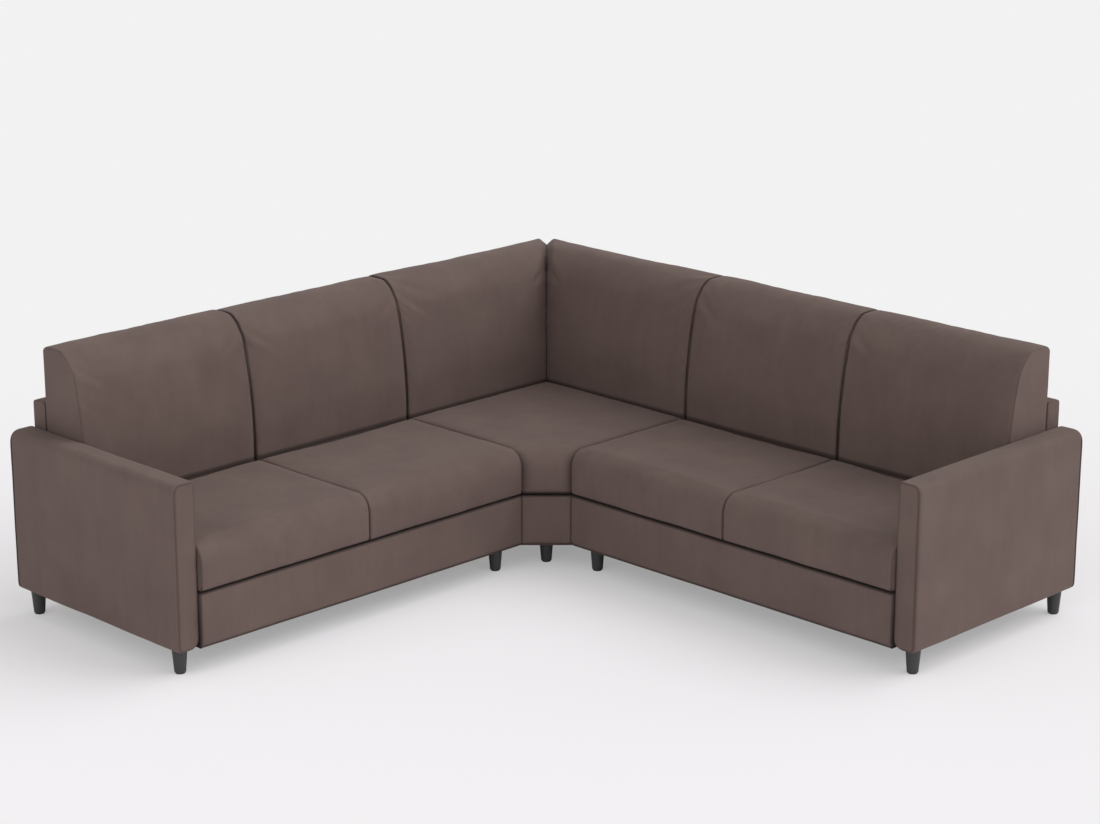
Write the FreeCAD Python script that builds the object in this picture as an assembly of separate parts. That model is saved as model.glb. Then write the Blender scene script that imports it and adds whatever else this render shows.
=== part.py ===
# Corner sofa: a left and a right two-seat wing that meet in a square corner module.
# All lengths are in millimetres. A wing piece is drawn once, for the right wing, by
#   s  its distance along the wing from the sofa's outer rear corner,
#   d  its depth from the rear face of the arm towards the room,
#   h  its height above the floor.
# The left wing is the mirror image of the right one about the sofa's diagonal.
import FreeCAD
import Part
import math
import os

Vector = FreeCAD.Vector

# Plan of the sofa
corner_width = 955.0        # square corner module, along each wing
seat_width = 670.0          # one seat place
arm_width = 85.0
arm_depth = 826.0           # rear face of the arm to its front face
seat_front = 846.0          # front of the seat cushions
band_front = 840.0          # front of the upholstered band under them
seat_back_line = 288.0      # where the seat cushions meet the back cushions
low_back_rear = 12.0
low_back_thickness = 65.0

# Heights
leg_height = 80.0
rail_height = 171.0
band_bottom = 88.0
seat_height = 414.0         # at the cushion's edges, under its crown
arm_height = 608.0
low_back_height = 694.0
back_height = 880.0

# Clearances
rest_gap = 0.3              # a loose cushion above the deck that carries it
cushion_gap = 2.0           # between loose neighbours
module_gap = 2.0            # between the three modules
cover_fit = 0.3             # foam inside its cover
thread_fit = 0.05
bolt_hole_fit = 0.5

# Seat cushion form
seat_edge_radius = 50.0     # rounded top front edge
seat_front_bulge = 6.0
seat_crown = 9.0
seat_drawn = 6.0            # how far the edges are drawn in at a cushion's ends
cushion_cover = 3.0         # cloth and wadding

# Back cushion form
back_bend_height = 430.0    # below it the front is upright, above it leans back
shoulder_depth = 241.0      # where the front turns into the rounded top edge
shoulder_drop = 62.0
shoulder_bow = 17.0
brow_depth = 183.0          # where the rounded top edge reaches the top
back_front_bow = 14.0
back_crown = 3.0
back_rear_radius = 18.0
back_drawn = 4.0
mitre_drop = 28.0           # notch where the two corner cushions meet

# Timber frames
rail_thickness = 25.0
leg_block = 84.0            # side of the square blocks that hold the legs
leg_block_thickness = 25.0
arm_post_count = 4
wing_back_post_count = 6
corner_back_post_count = 5
back_bottom_rail = 100.0
arm_board_thickness = 3.0

# Upholstery over the frames
arm_cover_thickness = 10.0
arm_underside = 4.0
arm_facing_thickness = 12.0
arm_outer_radius = 28.0
arm_inner_radius = 11.0
arm_lower_radius = 16.0
arm_rear_radius = 8.0
facing_edge_radius = 3.0
low_back_cover = 8.0
low_back_radius = 12.0
band_thickness = 12.0
band_edge_radius = 6.0
band_lip = 5.0              # cloth and wadding over the front rail
band_lip_depth = 12.0
strap_thickness = 2.5
strap_width = 60.0
strap_side_margin = 45.0    # rail end to the first strap
strap_rear_margin = 5.0
straps_per_wing = 10
straps_in_corner = 7
deck_cloth_thickness = 5.0
dust_cloth_thickness = 2.0

# Legs
leg_top_radius = 24.0
leg_foot_radius = 18.0
leg_foot_round = 3.0
leg_from_front = 44.0       # leg centre to the front or rear of the frame
leg_from_side = 69.0        # leg centre to the side of the module
arm_leg_rear = 51.0         # rear leg under the arm
arm_leg_front = 48.0        # front leg under the arm, behind its front face
glide_radius = 15.0
glide_thickness = 3.0
glide_nail_radius = 1.5
glide_nail_length = 14.0

# Fasteners
bolt_radius = 4.0
bolt_length = 60.0
bolt_head_width = 13.0
bolt_head_thickness = 5.5
insert_radius = 6.0
insert_length = 18.0
stud_in_leg = 20.0
tee_barrel_radius = 5.2
tee_barrel_length = 20.0
tee_flange_radius = 9.5
tee_flange_thickness = 1.5
arm_bolt_lower = 50.0       # above the frame's underside
arm_bolt_upper = 120.0
back_bolt_height = 62.0
back_bolt_margin = 170.0
back_bolt_shift = 80.0      # middle bolt beside the rail at the seat split
module_bolt_margin = 150.0
module_bolt_height = 85.0

# Places that follow from the sizes above
wing_length = corner_width + 2.0 * seat_width + arm_width
arm_inner = wing_length - arm_width
seat_split = corner_width + seat_width
module_side = corner_width + module_gap / 2.0
corner_side = corner_width - module_gap / 2.0
frame_bottom = leg_height + dust_cloth_thickness
frame_top = frame_bottom + rail_height
frame_rear = low_back_rear + low_back_thickness
frame_front = band_front - band_thickness
strap_top = frame_top + strap_thickness
deck_top = strap_top + deck_cloth_thickness
deck_front = frame_front - band_lip_depth
cushion_base = deck_top + rest_gap
back_rear = frame_rear + cushion_gap / 2.0
back_front = seat_back_line - cushion_gap / 2.0
seat_rear = seat_back_line + cushion_gap / 2.0
corner_shift = (corner_width + band_front) / math.sqrt(2.0) - band_front
quarter_bow = 1.0 - math.sqrt(0.5)
cavity_rear = low_back_rear + low_back_cover
cavity_front = frame_rear - low_back_cover
cavity_top = low_back_height - low_back_cover
arm_cavity_inner = arm_inner + arm_cover_thickness
arm_cavity_outer = wing_length - arm_cover_thickness
arm_cavity_bottom = leg_height + arm_underside
arm_cavity_top = arm_height - arm_cover_thickness
arm_cavity_front = arm_depth - arm_facing_thickness
along_s = Vector(1.0, 0.0, 0.0)
along_d = Vector(0.0, -1.0, 0.0)
upwards = Vector(0.0, 0.0, 1.0)


# Basic shapes in the wing's own directions
def at(s, d, h):
    return Vector(s, -d, h)


def block(s0, s1, d0, d1, h0, h1):
    return Part.makeBox(s1 - s0, d1 - d0, h1 - h0, at(s0, d1, h0))


def rod(start, direction, radius, length):
    return Part.makeCylinder(radius, length, start, direction)


def arc(start, end, rise):
    """Three points of an arc that bows outwards, on an outline run anticlockwise."""
    run = end[0] - start[0]
    climb = end[1] - start[1]
    length = math.hypot(run, climb)
    middle_d = (start[0] + end[0]) / 2.0 + rise * climb / length
    middle_h = (start[1] + end[1]) / 2.0 - rise * run / length
    return (start, (middle_d, middle_h), end)


def rectangle(d0, d1, h0, h1):
    corners = [(d0, h0), (d1, h0), (d1, h1), (d0, h1)]
    return [(corners[i], corners[(i + 1) % 4]) for i in range(4)]


def closed_wire(outline, place):
    """Wire through an outline of two-point lines and three-point arcs."""
    edges = []
    for points in outline:
        placed = [place(d, h) for d, h in points]
        if len(placed) == 2:
            edges.append(Part.LineSegment(*placed).toShape())
        else:
            edges.append(Part.Arc(*placed).toShape())
    return Part.Wire(edges)


def along_wing(outline, s0, s1):
    """Outline of (d, h) points drawn out along the wing."""
    wire = closed_wire(outline, lambda d, h: at(s0, d, h))
    return Part.Face(wire).extrude(along_s * (s1 - s0))


def across_corner(outline):
    """The same outline drawn out across the corner, square to the diagonal."""
    step = corner_width / math.sqrt(2.0)

    def place(d, h):
        reach = (d + corner_shift) / math.sqrt(2.0)
        return at(reach - step, reach + step, h)

    wire = closed_wire(outline, place)
    return Part.Face(wire).extrude(Vector(2.0 * step, 2.0 * step, 0.0))


def mirrored(shape):
    """Left-wing copy of a right-wing shape."""
    return shape.mirror(Vector(0.0, 0.0, 0.0), Vector(1.0, 1.0, 0.0))


def both_sides(shapes):
    return list(shapes) + [mirrored(shape) for shape in shapes]


# Cushion forms
def puff(t):
    """How full a cushion is from one end, t = 0, to the other, t = 1."""
    return math.sqrt(1.0 - (2.0 * t - 1.0) ** 8)


def seat_outline(rear, front, inset, drawn, crown):
    base = cushion_base + inset
    top = seat_height - inset - drawn
    nose = front - inset - drawn
    radius = seat_edge_radius - inset
    toe = (nose, base)
    knee = (nose, top - radius)
    brow = (nose - radius, top)
    heel = (rear + inset, top)
    start = (rear + inset, base)
    return [
        (start, toe),
        arc(toe, knee, seat_front_bulge),
        arc(knee, brow, quarter_bow * radius),
        arc(brow, heel, crown),
        (heel, start),
    ]


def back_outline(inset, drawn, drop):
    base = cushion_base + inset
    top = back_height - inset - drawn - drop
    rear = back_rear + inset
    radius = back_rear_radius
    start = (rear, base)
    toe = (back_front - inset - drawn, base)
    bend = (back_front - inset - drawn, back_bend_height)
    shoulder = (shoulder_depth - inset - drawn, top - shoulder_drop + inset)
    brow = (brow_depth, top)
    nape = (rear + radius, top)
    neck = (rear, top - radius)
    return [
        (start, toe),
        (toe, bend),
        arc(bend, shoulder, back_front_bow),
        arc(shoulder, brow, shoulder_bow),
        arc(brow, nape, back_crown),
        arc(nape, neck, quarter_bow * radius),
        (neck, start),
    ]


cushion_stations = (0.0, 0.015, 0.05, 0.12, 0.3, 0.5, 0.7, 0.88, 0.95, 0.985, 1.0)


def seat_form(s0, s1, inset):
    """Seat cushion between two upright planes, crowned, with drawn-in ends."""
    wires = []
    for t in cushion_stations:
        s = s0 + inset + t * (s1 - s0 - 2.0 * inset)
        drawn = seat_drawn * (1.0 - puff(t))
        crown = 1.0 + seat_crown * (1.0 - (2.0 * t - 1.0) ** 2)
        outline = seat_outline(seat_rear, seat_front, inset, drawn, crown)
        wires.append(closed_wire(outline, lambda d, h, s=s: at(s, d, h)))
    return Part.makeLoft(wires, True, True)


def corner_seat_form(inset):
    """Square seat cushion whose front corner is cut off across the diagonal."""
    low = seat_rear + inset
    high = corner_width - cushion_gap / 2.0 - inset
    walls = block(low, high, low, high, cushion_base, back_height)
    outline = seat_outline(-corner_shift, seat_front, inset, 0.0, 2.0 * seat_crown)
    return across_corner(outline).common(walls)


def back_form(s0, s1, inset, mitred):
    """Back cushion; a mitred one starts at the upright plane of the sofa's diagonal."""
    wires = []
    for t in cushion_stations:
        first = s0 + inset
        skew = 0.0
        if mitred:
            first = (cushion_gap / 2.0 + inset) * math.sqrt(2.0)
            skew = 1.0 - t
        station = first + t * (s1 - inset - first)
        drop = 0.0
        if mitred and t < 0.5:
            drop = mitre_drop * (1.0 - puff(t))
        outline = back_outline(inset, back_drawn * (1.0 - puff(t)), drop)
        wires.append(closed_wire(
            outline, lambda d, h, s=station, k=skew: at(s + k * d, d, h)))
    return Part.makeLoft(wires, True, True)


def covered(form, *places):
    """Cover and foam of one cushion."""
    cover = form(*places[:2], 0.0, *places[2:])
    cover = cover.cut(form(*places[:2], cushion_cover, *places[2:]))
    foam = form(*places[:2], cushion_cover + cover_fit, *places[2:])
    return cover, foam


# Fasteners
def bolt(head_seat, direction):
    """Hexagon bolt whose head sits against head_seat and whose shank points along direction."""
    side = direction.cross(upwards)
    corners = []
    for k in range(7):
        turn = math.radians(60.0 * k)
        reach = bolt_head_width / 2.0 / math.cos(math.radians(30.0))
        corners.append(head_seat + side * (reach * math.cos(turn)) + upwards * (reach * math.sin(turn)))
    head = Part.Face(Part.makePolygon(corners)).extrude(direction * -bolt_head_thickness)
    return head.fuse(rod(head_seat, direction, bolt_radius, bolt_length))


def insert(mouth, direction):
    """Threaded sleeve that starts at mouth."""
    sleeve = rod(mouth, direction, insert_radius, insert_length)
    return sleeve.cut(rod(mouth, direction, bolt_radius + thread_fit, insert_length))


def tee_nut(s, d, top):
    """Barrel under a flange that lies on the timber at height top."""
    flange = rod(at(s, d, top), upwards, tee_flange_radius, tee_flange_thickness)
    barrel = rod(at(s, d, top - tee_barrel_length), upwards, tee_barrel_radius, tee_barrel_length)
    bore = rod(at(s, d, leg_height), upwards, bolt_radius + thread_fit, top)
    return flange.fuse(barrel).cut(bore)


def drilled(shapes, holes):
    return [shape.cut(Part.makeCompound(holes)) for shape in shapes]


# Legs
def leg(s, d):
    """Tapered round foot with a socket for its stud and a hole for its glide's nail."""
    base = glide_thickness
    foot = leg_foot_radius
    turn = leg_foot_round
    outline = [
        ((0.0, base), (foot - turn, base)),
        arc((foot - turn, base), (foot, base + turn), quarter_bow * turn),
        ((foot, base + turn), (leg_top_radius, leg_height)),
        ((leg_top_radius, leg_height), (0.0, leg_height)),
        ((0.0, leg_height), (0.0, base)),
    ]
    half = Part.Face(closed_wire(outline, lambda r, h: at(s + r, d, h)))
    body = half.revolve(at(s, d, 0.0), upwards, 360.0)
    socket = rod(at(s, d, leg_height - stud_in_leg), upwards, bolt_radius + thread_fit, stud_in_leg)
    nail_hole = rod(at(s, d, base), upwards, glide_nail_radius + thread_fit, glide_nail_length)
    return body.cut(socket).cut(nail_hole)


def glide(s, d):
    pad = rod(at(s, d, 0.0), upwards, glide_radius, glide_thickness)
    return pad.fuse(rod(at(s, d, 0.0), upwards, glide_nail_radius, glide_thickness + glide_nail_length))


def stud(s, d, top):
    foot = leg_height - stud_in_leg
    return rod(at(s, d, foot), upwards, bolt_radius, top - foot)


arm_centre = arm_inner + arm_width / 2.0
arm_rail_top = arm_cavity_bottom + rail_thickness
block_top = frame_bottom + leg_block_thickness
arm_legs = [(arm_centre, arm_leg_rear), (arm_centre, arm_depth - arm_leg_front)]
wing_legs = [
    (module_side + leg_from_side, frame_rear + leg_from_front),
    (module_side + leg_from_side, frame_front - leg_from_front),
]
corner_rear_leg = (frame_rear + leg_from_front, frame_rear + leg_from_front)
corner_side_leg = (corner_side - leg_from_side, frame_rear + leg_from_front)
front_leg_reach = (frame_front + corner_shift - rail_thickness - leg_from_front) / math.sqrt(2.0)
corner_front_leg = (front_leg_reach, front_leg_reach)


def leg_holes(places):
    return [rod(at(s, d, 0.0), upwards, tee_barrel_radius, frame_top) for s, d in places]


# Base frames, their cloths and the band in front
def bolt_holes(places, direction, radius, back, length):
    return [rod(place - direction * back, direction, radius, length) for place in places]


arm_bolt_heights = (frame_bottom + arm_bolt_lower, frame_bottom + arm_bolt_upper)
arm_post_pitch = (arm_cavity_front - arm_cover_thickness - rail_thickness) / (arm_post_count - 1)
arm_post_starts = [arm_cover_thickness + k * arm_post_pitch for k in range(arm_post_count)]
arm_bolt_depths = [start + rail_thickness / 2.0 for start in arm_post_starts[1:-1]]
arm_bolt_seats = [
    at(arm_inner - rail_thickness, d, h) for d in arm_bolt_depths for h in arm_bolt_heights
]
module_bolt_depths = (frame_rear + module_bolt_margin, frame_front - module_bolt_margin)
module_bolt_seats = [
    at(corner_side - rail_thickness, d, frame_bottom + module_bolt_height)
    for d in module_bolt_depths
]
back_bolt_h = frame_bottom + back_bolt_height
back_bolt_first = module_side + back_bolt_margin
back_bolt_last = arm_inner - back_bolt_margin
back_bolt_middle = (back_bolt_first + back_bolt_last) / 2.0 - back_bolt_shift
wing_back_bolt_seats = [
    at(s, frame_rear + rail_thickness, back_bolt_h)
    for s in (back_bolt_first, back_bolt_middle, back_bolt_last)
]
corner_back_bolt_seats = [
    at(s, frame_rear + rail_thickness, back_bolt_h)
    for s in (frame_rear + leg_block + back_bolt_margin, corner_side - back_bolt_margin)
]
hole_radius = bolt_radius + bolt_hole_fit


def wing_base_frame():
    t = rail_thickness
    inner_front = frame_front - t
    inner_rear = frame_rear + t
    rails = [
        block(module_side, arm_inner, frame_rear, inner_rear, frame_bottom, frame_top),
        block(module_side, arm_inner, inner_front, frame_front, frame_bottom, frame_top),
        block(module_side, module_side + t, inner_rear, inner_front, frame_bottom, frame_top),
        block(seat_split - t / 2.0, seat_split + t / 2.0, inner_rear, inner_front,
              frame_bottom, frame_top),
        block(arm_inner - t, arm_inner, inner_rear, inner_front, frame_bottom, frame_top),
    ]
    near = module_side + t
    blocks = [
        block(near, near + leg_block, inner_rear, inner_rear + leg_block, frame_bottom, block_top),
        block(near, near + leg_block, inner_front - leg_block, inner_front, frame_bottom, block_top),
    ]
    holes = leg_holes(wing_legs)
    holes += bolt_holes(arm_bolt_seats, along_s, hole_radius, 0.0, t)
    holes += bolt_holes(wing_back_bolt_seats, along_d * -1.0, hole_radius, 0.0, t)
    mouths = [seat + along_s * (t + module_gap) for seat in module_bolt_seats]
    holes += bolt_holes(mouths, along_s, insert_radius, 0.0, insert_length)
    deeper = [mouth + along_s * insert_length for mouth in mouths]
    holes += bolt_holes(deeper, along_s, hole_radius, 0.0, t)
    return drilled(rails + blocks, holes)


def corner_base_frame():
    t = rail_thickness
    inner_rear = frame_rear + t
    inner_side = corner_side - t
    limit = block(frame_rear, corner_side, frame_rear, corner_side, 0.0, frame_top)
    inside = block(inner_rear, inner_side, inner_rear, inner_side, 0.0, frame_top)
    front = across_corner(rectangle(0.0, frame_front, frame_bottom, frame_top)).common(limit)
    side = block(inner_side, corner_side, inner_rear, corner_side, frame_bottom, frame_top)
    side = side.common(front)
    rear = block(inner_rear, corner_side, frame_rear, inner_rear, frame_bottom, frame_top)
    post = block(frame_rear, inner_rear, frame_rear, inner_rear, frame_bottom, frame_top)
    chamfer_outline = rectangle(frame_front - t, frame_front, frame_bottom, frame_top)
    chamfer = across_corner(chamfer_outline).common(inside)
    middle = (inner_rear + inner_side) / 2.0
    cross = block(inner_rear, inner_side, middle - t / 2.0, middle + t / 2.0,
                  frame_bottom, frame_top)
    far = inner_rear + leg_block
    corner_block = block(inner_rear, far, inner_rear, far, frame_bottom, block_top)
    side_block = block(inner_side - leg_block, inner_side, inner_rear, far, frame_bottom, block_top)
    front_outline = rectangle(frame_front - t - leg_block, frame_front - t, frame_bottom, block_top)
    front_block = across_corner(front_outline).common(inside)
    strip = Part.makeBox(2.0 * corner_width, leg_block, frame_top, Vector(0.0, -leg_block / 2.0, 0.0))
    strip.rotate(Vector(0.0, 0.0, 0.0), upwards, -45.0)
    front_block = front_block.common(strip)
    holes = leg_holes([corner_rear_leg, corner_side_leg, corner_front_leg])
    holes += [mirrored(hole) for hole in leg_holes([corner_side_leg])]
    bolts = bolt_holes(module_bolt_seats, along_s, hole_radius, 0.0, t)
    bolts += bolt_holes(corner_back_bolt_seats, along_d * -1.0, hole_radius, 0.0, t)
    holes += both_sides(bolts)
    members = both_sides([side, rear, side_block]) + [post, chamfer, cross, corner_block, front_block]
    return drilled(members, holes)


def band_outline():
    r = band_edge_radius
    top = frame_top + band_lip
    return [
        ((frame_front, band_bottom), (band_front - r, band_bottom)),
        arc((band_front - r, band_bottom), (band_front, band_bottom + r), quarter_bow * r),
        ((band_front, band_bottom + r), (band_front, top - r)),
        arc((band_front, top - r), (band_front - r, top), quarter_bow * r),
        ((band_front - r, top), (deck_front, top)),
        ((deck_front, top), (deck_front, frame_top)),
        ((deck_front, frame_top), (frame_front, frame_top)),
        ((frame_front, frame_top), (frame_front, band_bottom)),
    ]


def corner_part(outline):
    """What an outline gives across the corner, ended by the corner module's two sides."""
    limit = block(frame_rear, corner_side, frame_rear, corner_side, 0.0, back_height)
    return across_corner(outline).common(limit)


def wing_straps():
    first = module_side + strap_side_margin
    last = arm_inner - strap_side_margin - strap_width
    pitch = (last - first) / (straps_per_wing - 1)
    rear = frame_rear + strap_rear_margin
    return [
        block(first + k * pitch, first + k * pitch + strap_width, rear, deck_front,
              frame_top, strap_top)
        for k in range(straps_per_wing)
    ]


def corner_straps():
    first = frame_rear + strap_side_margin
    last = corner_side - strap_side_margin - strap_width
    pitch = (last - first) / (straps_in_corner - 1)
    rear = frame_rear + strap_rear_margin
    end = corner_side - strap_rear_margin
    deck = corner_part(rectangle(-corner_shift, deck_front, frame_top, strap_top))
    return [
        block(first + k * pitch, first + k * pitch + strap_width, rear, end,
              frame_top, strap_top).common(deck)
        for k in range(straps_in_corner)
    ]


# Arms
def arm_outline():
    """Front view of the arm as (s, h) points, with a soft outer top edge."""
    left = arm_inner
    right = wing_length
    low = leg_height
    high = arm_height
    a = arm_lower_radius
    b = arm_outer_radius
    c = arm_inner_radius
    return [
        ((left + a, low), (right - a, low)),
        arc((right - a, low), (right, low + a), quarter_bow * a),
        ((right, low + a), (right, high - b)),
        arc((right, high - b), (right - b, high), quarter_bow * b),
        ((right - b, high), (left + c, high)),
        arc((left + c, high), (left, high - c), quarter_bow * c),
        ((left, high - c), (left, low + a)),
        arc((left, low + a), (left + a, low), quarter_bow * a),
    ]


def arm_slab(d0, d1):
    wire = closed_wire(arm_outline(), lambda s, h: at(s, d0, h))
    return Part.Face(wire).extrude(along_d * (d1 - d0))


def edges_at_depth(shape, depth):
    """Edges of a shape that lie in the upright plane at one depth."""
    return [edge for edge in shape.Edges
            if all(abs(vertex.Y + depth) < 0.001 for vertex in edge.Vertexes)]


def arm_cover():
    outer = arm_slab(0.0, arm_cavity_front)
    outer = outer.makeFillet(arm_rear_radius, edges_at_depth(outer, 0.0))
    cavity = block(arm_cavity_inner, arm_cavity_outer, arm_cover_thickness, arm_cavity_front,
                   arm_cavity_bottom, arm_cavity_top)
    holes = leg_holes(arm_legs)
    mouths = [seat + along_s * rail_thickness for seat in arm_bolt_seats]
    holes += bolt_holes(mouths, along_s, hole_radius, 0.0, arm_cover_thickness)
    return drilled([outer.cut(cavity)], holes)


def arm_facing():
    """Padded panel that closes the arm's front."""
    slab = arm_slab(arm_cavity_front, arm_depth)
    return [slab.makeFillet(facing_edge_radius, edges_at_depth(slab, arm_depth))]


def arm_boards():
    """Thin boards on both sides of the arm's timber frame."""
    t = arm_board_thickness
    inner = block(arm_cavity_inner, arm_cavity_inner + t, arm_cover_thickness, arm_cavity_front,
                  arm_cavity_bottom, arm_cavity_top)
    outer = block(arm_cavity_outer - t, arm_cavity_outer, arm_cover_thickness, arm_cavity_front,
                  arm_cavity_bottom, arm_cavity_top)
    mouths = [seat + along_s * rail_thickness for seat in arm_bolt_seats]
    return drilled([inner, outer], bolt_holes(mouths, along_s, hole_radius, 0.0,
                                              arm_cover_thickness + t))


def arm_frame():
    left = arm_cavity_inner + arm_board_thickness
    right = arm_cavity_outer - arm_board_thickness
    rear = arm_cover_thickness
    front = arm_cavity_front
    t = rail_thickness
    members = [
        block(left, right, rear, front, arm_cavity_bottom, arm_rail_top),
        block(left, right, rear, front, arm_cavity_top - t, arm_cavity_top),
    ]
    for start in arm_post_starts:
        members.append(block(left, right, start, start + t, arm_rail_top, arm_cavity_top - t))
    mouths = [at(left, -seat.y, seat.z) for seat in arm_bolt_seats]
    holes = bolt_holes(mouths, along_s, insert_radius, 0.0, insert_length)
    holes += bolt_holes(mouths, along_s, hole_radius, 0.0, bolt_length)
    return drilled(members, holes + leg_holes(arm_legs))


# Low back behind the back cushions
def low_back_outline():
    r = low_back_radius
    return [
        ((low_back_rear, frame_bottom), (frame_rear, frame_bottom)),
        ((frame_rear, frame_bottom), (frame_rear, low_back_height - r)),
        arc((frame_rear, low_back_height - r), (frame_rear - r, low_back_height), quarter_bow * r),
        ((frame_rear - r, low_back_height), (low_back_rear + r, low_back_height)),
        arc((low_back_rear + r, low_back_height), (low_back_rear, low_back_height - r),
            quarter_bow * r),
        ((low_back_rear, low_back_height - r), (low_back_rear, frame_bottom)),
    ]


def mitre_side(offset):
    """Space on the right wing's side of the diagonal, offset away from it."""
    near = offset * math.sqrt(2.0)
    far = 2.0 * corner_width
    corners = [at(near, 0.0, 0.0), at(far, 0.0, 0.0), at(far + near, far, 0.0), at(near, 0.0, 0.0)]
    return Part.Face(Part.makePolygon(corners)).extrude(upwards * back_height)


def low_back(s0, s1, mitred, bolt_seats, post_count):
    """Cover and timber frame of one stretch of the low back."""
    outer = along_wing(low_back_outline(), s0, s1)
    inside_0 = s0 + low_back_cover
    inside_1 = s1 - low_back_cover
    cavity = block(inside_0, inside_1, cavity_rear, cavity_front, frame_bottom, cavity_top)
    rail_top = frame_bottom + back_bottom_rail
    t = rail_thickness
    members = [
        block(inside_0, inside_1, cavity_rear, cavity_front, frame_bottom, rail_top),
        block(inside_0, inside_1, cavity_rear, cavity_front, cavity_top - t, cavity_top),
    ]
    if mitred:
        outer = outer.common(mitre_side(0.0))
        inner_space = mitre_side(low_back_cover)
        cavity = cavity.common(inner_space)
        members = [member.common(inner_space) for member in members]
        inside_0 = cavity_front + low_back_cover * math.sqrt(2.0)
    pitch = (inside_1 - inside_0 - t) / (post_count - 1)
    for k in range(post_count):
        start = inside_0 + k * pitch
        members.append(block(start, start + t, cavity_rear, cavity_front, rail_top, cavity_top - t))
    mouths = [at(seat.x, cavity_front, seat.z) for seat in bolt_seats]
    away = along_d * -1.0
    front_holes = bolt_holes(mouths, away, hole_radius, low_back_cover, bolt_length)
    holes = front_holes + bolt_holes(mouths, away, insert_radius, 0.0, insert_length)
    return drilled([outer.cut(cavity)], front_holes), drilled(members, holes)


# All the pieces by node name
nodes = {}


def add_wing(name, shapes):
    """Right-wing shapes and their mirror images, as two nodes."""
    nodes[name.format(side="right")] = list(shapes)
    nodes[name.format(side="left")] = [mirrored(shape) for shape in shapes]


def add_cushion(kind, place, cover, foam):
    nodes[kind + "_cover_" + place] = [cover]
    nodes[kind + "_foam_" + place] = [foam]


def build_cushions():
    half = cushion_gap / 2.0
    stretches = {
        "inner": (corner_width + half, seat_split - half),
        "outer": (seat_split + half, arm_inner - half),
    }
    for place, (s0, s1) in stretches.items():
        cover, foam = covered(seat_form, s0, s1)
        add_cushion("seat", "right_" + place, cover, foam)
        add_cushion("seat", "left_" + place, mirrored(cover), mirrored(foam))
        cover, foam = covered(back_form, s0, s1, False)
        add_cushion("back", "right_" + place, cover, foam)
        add_cushion("back", "left_" + place, mirrored(cover), mirrored(foam))
    cover, foam = covered(back_form, 0.0, corner_width - half, True)
    add_cushion("back", "right_corner", cover, foam)
    add_cushion("back", "left_corner", mirrored(cover), mirrored(foam))
    cover = corner_seat_form(0.0).cut(corner_seat_form(cushion_cover))
    add_cushion("seat", "corner", cover, corner_seat_form(cushion_cover + cover_fit))


def build_bases():
    add_wing("base_frame_{side}", wing_base_frame())
    nodes["base_frame_corner"] = corner_base_frame()
    add_wing("base_band_{side}", [along_wing(band_outline(), module_side, arm_inner - module_gap / 2.0)])
    nodes["base_band_corner"] = [corner_part(band_outline())]
    add_wing("seat_webbing_{side}", wing_straps())
    nodes["seat_webbing_corner"] = corner_straps()
    add_wing("deck_cloth_{side}", [
        block(module_side, arm_inner, frame_rear, deck_front, strap_top, deck_top)])
    nodes["deck_cloth_corner"] = [
        corner_part(rectangle(-corner_shift, deck_front, strap_top, deck_top))]
    dust = block(module_side, arm_inner, frame_rear, frame_front, leg_height, frame_bottom)
    add_wing("dust_cloth_{side}", drilled([dust], leg_holes(wing_legs)))
    dust = corner_part(rectangle(-corner_shift, frame_front, leg_height, frame_bottom))
    holes = leg_holes([corner_rear_leg, corner_side_leg, corner_front_leg])
    holes += [mirrored(hole) for hole in leg_holes([corner_side_leg])]
    nodes["dust_cloth_corner"] = drilled([dust], holes)


def build_arms():
    add_wing("arm_frame_{side}", arm_frame())
    add_wing("arm_boards_{side}", arm_boards())
    add_wing("arm_cover_{side}", arm_cover())
    add_wing("arm_facing_{side}", arm_facing())


def build_low_backs():
    cover, frame = low_back(module_side, arm_inner, False, wing_back_bolt_seats,
                            wing_back_post_count)
    add_wing("low_back_cover_{side}", cover)
    add_wing("low_back_frame_{side}", frame)
    cover, frame = low_back(0.0, corner_side, True, corner_back_bolt_seats, corner_back_post_count)
    add_wing("low_back_cover_corner_{side}", cover)
    nodes["low_back_frame_corner"] = both_sides(frame)


def build_legs():
    wing = [(s, d, arm_rail_top) for s, d in arm_legs] + [(s, d, block_top) for s, d in wing_legs]
    single = [corner_rear_leg + (block_top,), corner_front_leg + (block_top,)]
    paired = wing + [corner_side_leg + (block_top,)]

    def group(make):
        return both_sides([make(*place) for place in paired]) + [make(*place) for place in single]

    nodes["legs"] = group(lambda s, d, top: leg(s, d))
    nodes["leg_glides"] = group(lambda s, d, top: glide(s, d))
    nodes["leg_studs"] = group(stud)
    nodes["tee_nuts"] = group(tee_nut)


def build_fasteners():
    away = along_d * -1.0
    back_seats = wing_back_bolt_seats + corner_back_bolt_seats
    bolts = [bolt(seat, along_s) for seat in arm_bolt_seats + module_bolt_seats]
    bolts += [bolt(seat, away) for seat in back_seats]
    arm_mouth = arm_cavity_inner + arm_board_thickness
    inserts = [insert(at(arm_mouth, -seat.y, seat.z), along_s) for seat in arm_bolt_seats]
    inserts += [insert(seat + along_s * (rail_thickness + module_gap), along_s)
                for seat in module_bolt_seats]
    inserts += [insert(at(seat.x, cavity_front, seat.z), away) for seat in back_seats]
    nodes["frame_bolts"] = both_sides(bolts)
    nodes["frame_inserts"] = both_sides(inserts)


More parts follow.
